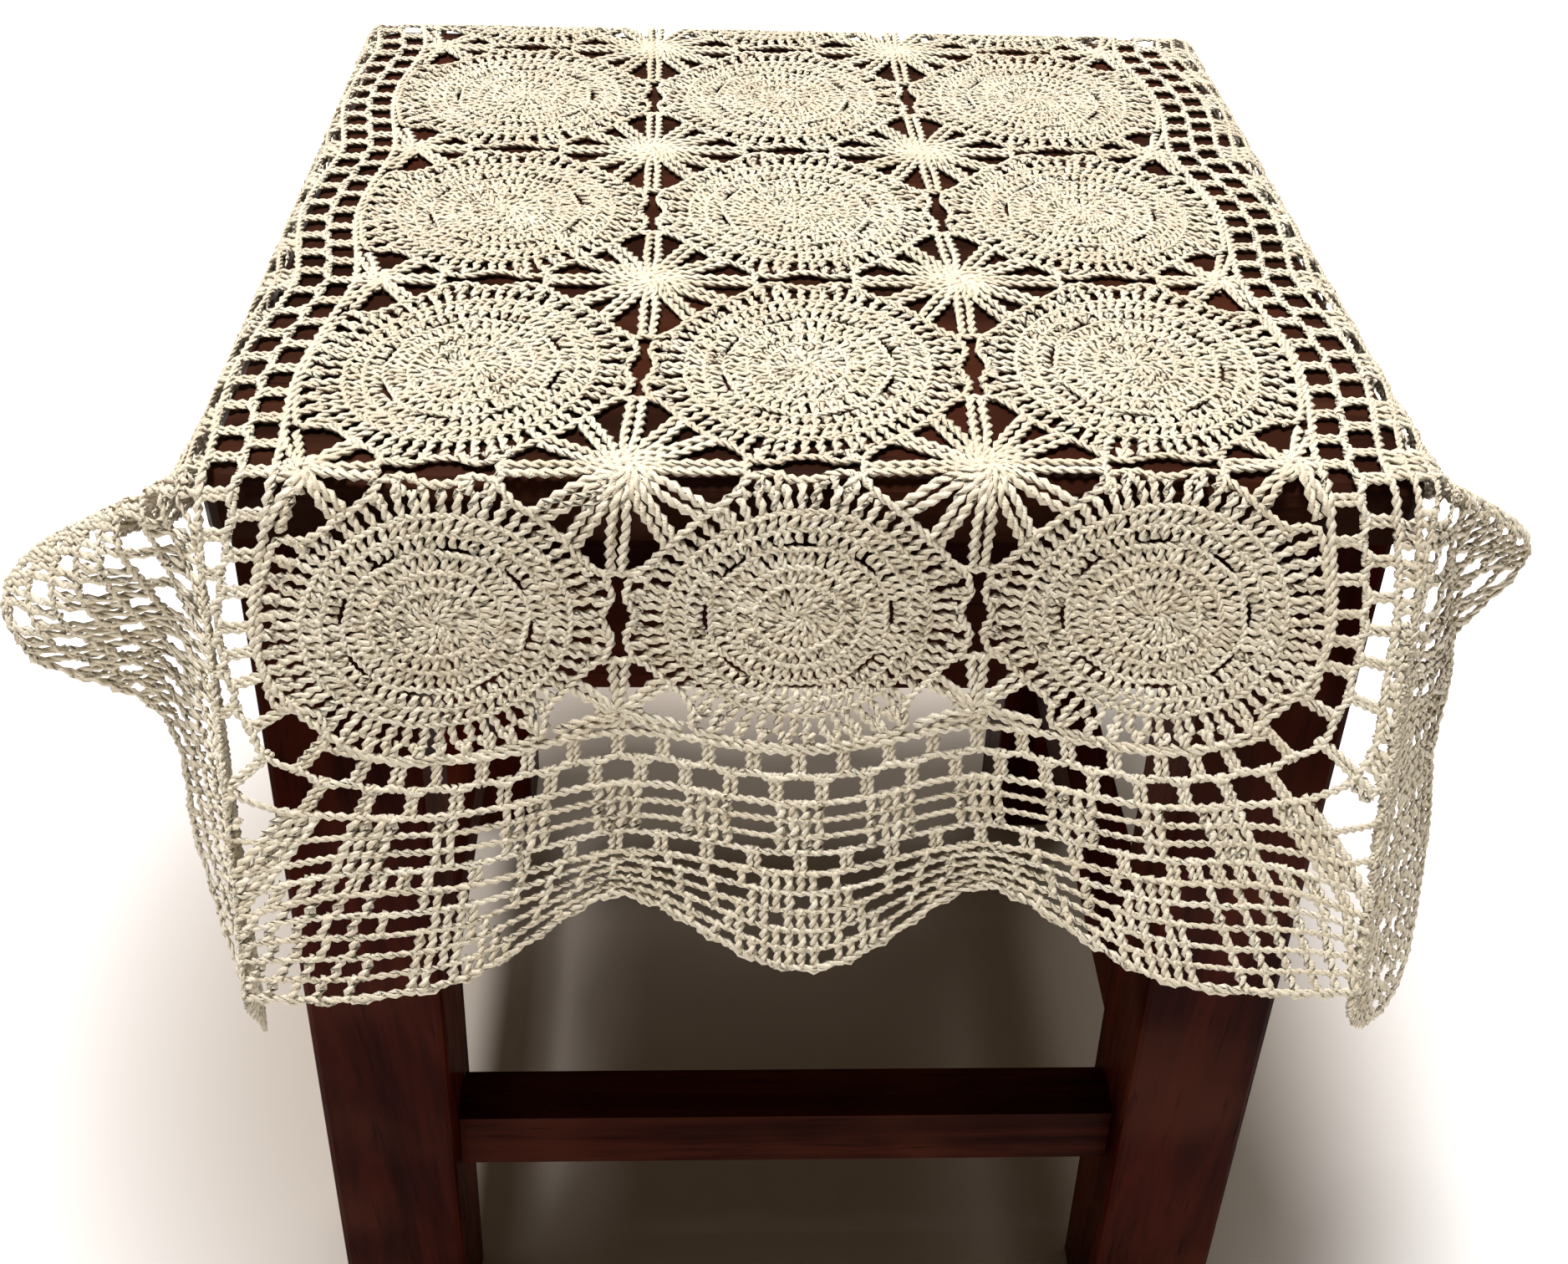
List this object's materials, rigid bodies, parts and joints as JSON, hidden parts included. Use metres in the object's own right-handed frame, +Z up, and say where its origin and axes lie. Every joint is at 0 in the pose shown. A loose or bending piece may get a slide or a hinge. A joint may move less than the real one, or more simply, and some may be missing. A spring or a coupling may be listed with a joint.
{
  "type": "crochet table runner draped on a wooden stool",
  "caption": "Crochet table runner of round motifs with star joins, a filet border and scalloped hem, draped over a small square wooden stool with splayed legs.",
  "frame": {"origin": "middle of the bounding box, at floor level under the stool", "axes": "+Z up, -Y towards the long hanging skirt in front, +X to the right seen from the front"},
  "size_m": [0.4546, 0.5076, 0.4523],
  "materials": {
    "cotton_yarn": "matte, natural cream cotton yarn",
    "dark_wood": "satin dark stain"
  },
  "bodies": {
    "root": {"table_runner": "cotton_yarn", "seat_board": "dark_wood", "leg_front_left": "dark_wood", "leg_front_right": "dark_wood", "leg_back_left": "dark_wood", "leg_back_right": "dark_wood", "apron_front": "dark_wood", "apron_back": "dark_wood", "apron_left": "dark_wood", "apron_right": "dark_wood", "stretcher_front": "dark_wood", "stretcher_back": "dark_wood", "stretcher_left": "dark_wood", "stretcher_right": "dark_wood"}
  },
  "joints": []
}
